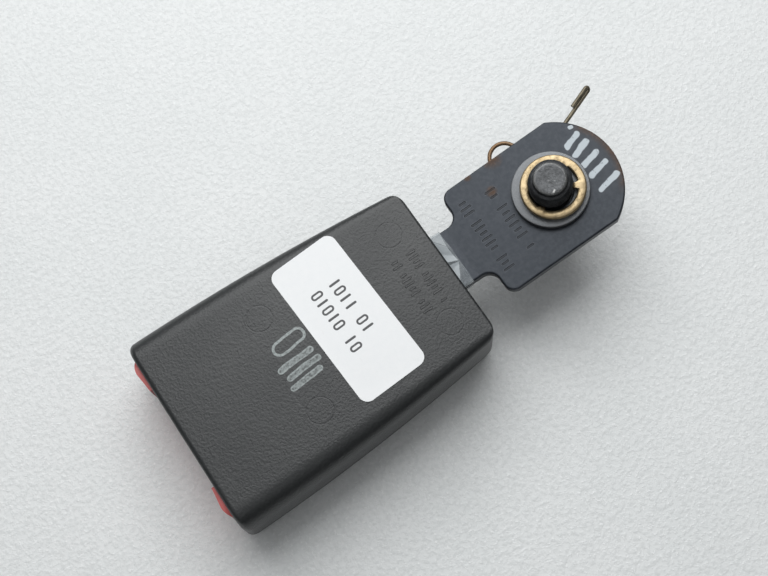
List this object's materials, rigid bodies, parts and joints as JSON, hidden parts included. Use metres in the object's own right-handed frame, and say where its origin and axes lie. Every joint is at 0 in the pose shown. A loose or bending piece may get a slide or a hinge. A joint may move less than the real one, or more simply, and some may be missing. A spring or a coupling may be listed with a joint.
{
  "type": "seat belt buckle",
  "caption": "End-release seat belt buckle in a tapering two-shell housing, with latch works, red push button and a neck plate that carries a free-turning anchor bolt.",
  "frame": {"origin": "where the anchor bolt's axis meets the anchor plate's top face", "axes": "+X along the housing towards the push button, +Y across, +Z out of the housing's back face; the bolt's axis leans 6.8 degrees from +Z towards +X"},
  "size_m": [0.1381, 0.0568, 0.0377],
  "materials": {
    "housing_black": "fine grained ABS",
    "button_red": "satin red ABS",
    "guide_black": "moulded nylon",
    "acetal_white": "natural acetal",
    "plated_steel": "clear zinc plated sheet",
    "blackened_steel": "black phosphate with rust at the edges",
    "hardened_steel": "hardened, oiled",
    "rivet_steel": "plain zinc",
    "spring_steel": "drawn spring wire",
    "foam": "open-cell foam",
    "clear_film": "crinkled clear film",
    "label_white": "printed polyester",
    "bolt_black": "black phosphate",
    "washer_grey": "dull zinc",
    "yellow_zinc": "yellow chromated zinc",
    "wire_olive": "tarnished spring wire"
  },
  "bodies": {
    "housing": {"back_cover": "housing_black", "front_cover": "housing_black", "tongue_guide": "guide_black", "base_frame": "plated_steel", "anchor_plate": "blackened_steel", "frame_rivets": "rivet_steel", "latch_axle": "rivet_steel", "axle_clips": "spring_steel", "spring_seat": "acetal_white", "foam_pad": "foam", "neck_film": "clear_film", "label": "label_white", "anchor_wire": "wire_olive", "button_springs": "spring_steel", "latch_spring": "spring_steel", "ejector_spring": "spring_steel"},
    "button": {"push_button": "button_red"},
    "lock": {"lock_slide": "acetal_white", "lock_pin": "rivet_steel"},
    "latch": {"latch_lever": "hardened_steel"},
    "ejector": {"ejector": "acetal_white"},
    "bolt": {"anchor_bolt": "bolt_black", "retaining_ring": "yellow_zinc"},
    "washer": {"flat_washer": "washer_grey"}
  },
  "joints": [
    {"name": "button_press", "type": "slide", "parent": "housing", "child": "button", "axis": [-1, 0, 0], "range_m": [0, 0.0055], "stiffness_N_per_m": 900, "deforming": ["button_springs"]},
    {"name": "lock_slide", "type": "slide", "parent": "housing", "child": "lock", "axis": [-1, 0, 0], "range_m": [0, 0.0055]},
    {"name": "latch_swing", "type": "hinge", "parent": "housing", "child": "latch", "pos_m": [0.062, 0, -0.0154], "axis": [0, 1, 0], "range_deg": [0, 10], "stiffness_Nm_per_rad": 0.4, "deforming": ["latch_spring"]},
    {"name": "ejector_slide", "type": "slide", "parent": "housing", "child": "ejector", "axis": [-1, 0, 0], "range_m": [0, 0.012], "stiffness_N_per_m": 300, "deforming": ["ejector_spring"]},
    {"name": "bolt_turn", "type": "hinge", "parent": "housing", "child": "bolt", "pos_m": [0, 0, 0], "axis": [0.1184, 0, 0.993], "continuous": true},
    {"name": "washer_turn", "type": "hinge", "parent": "bolt", "child": "washer", "pos_m": [0, 0, 0], "axis": [0.1184, 0, 0.993], "continuous": true}
  ],
  "couplings": [
    {"joint": "lock_slide", "follows": "button_press", "ratio": 1},
    {"joint": "latch_swing", "follows": "button_press", "rad_per_m": 31.733}
  ]
}
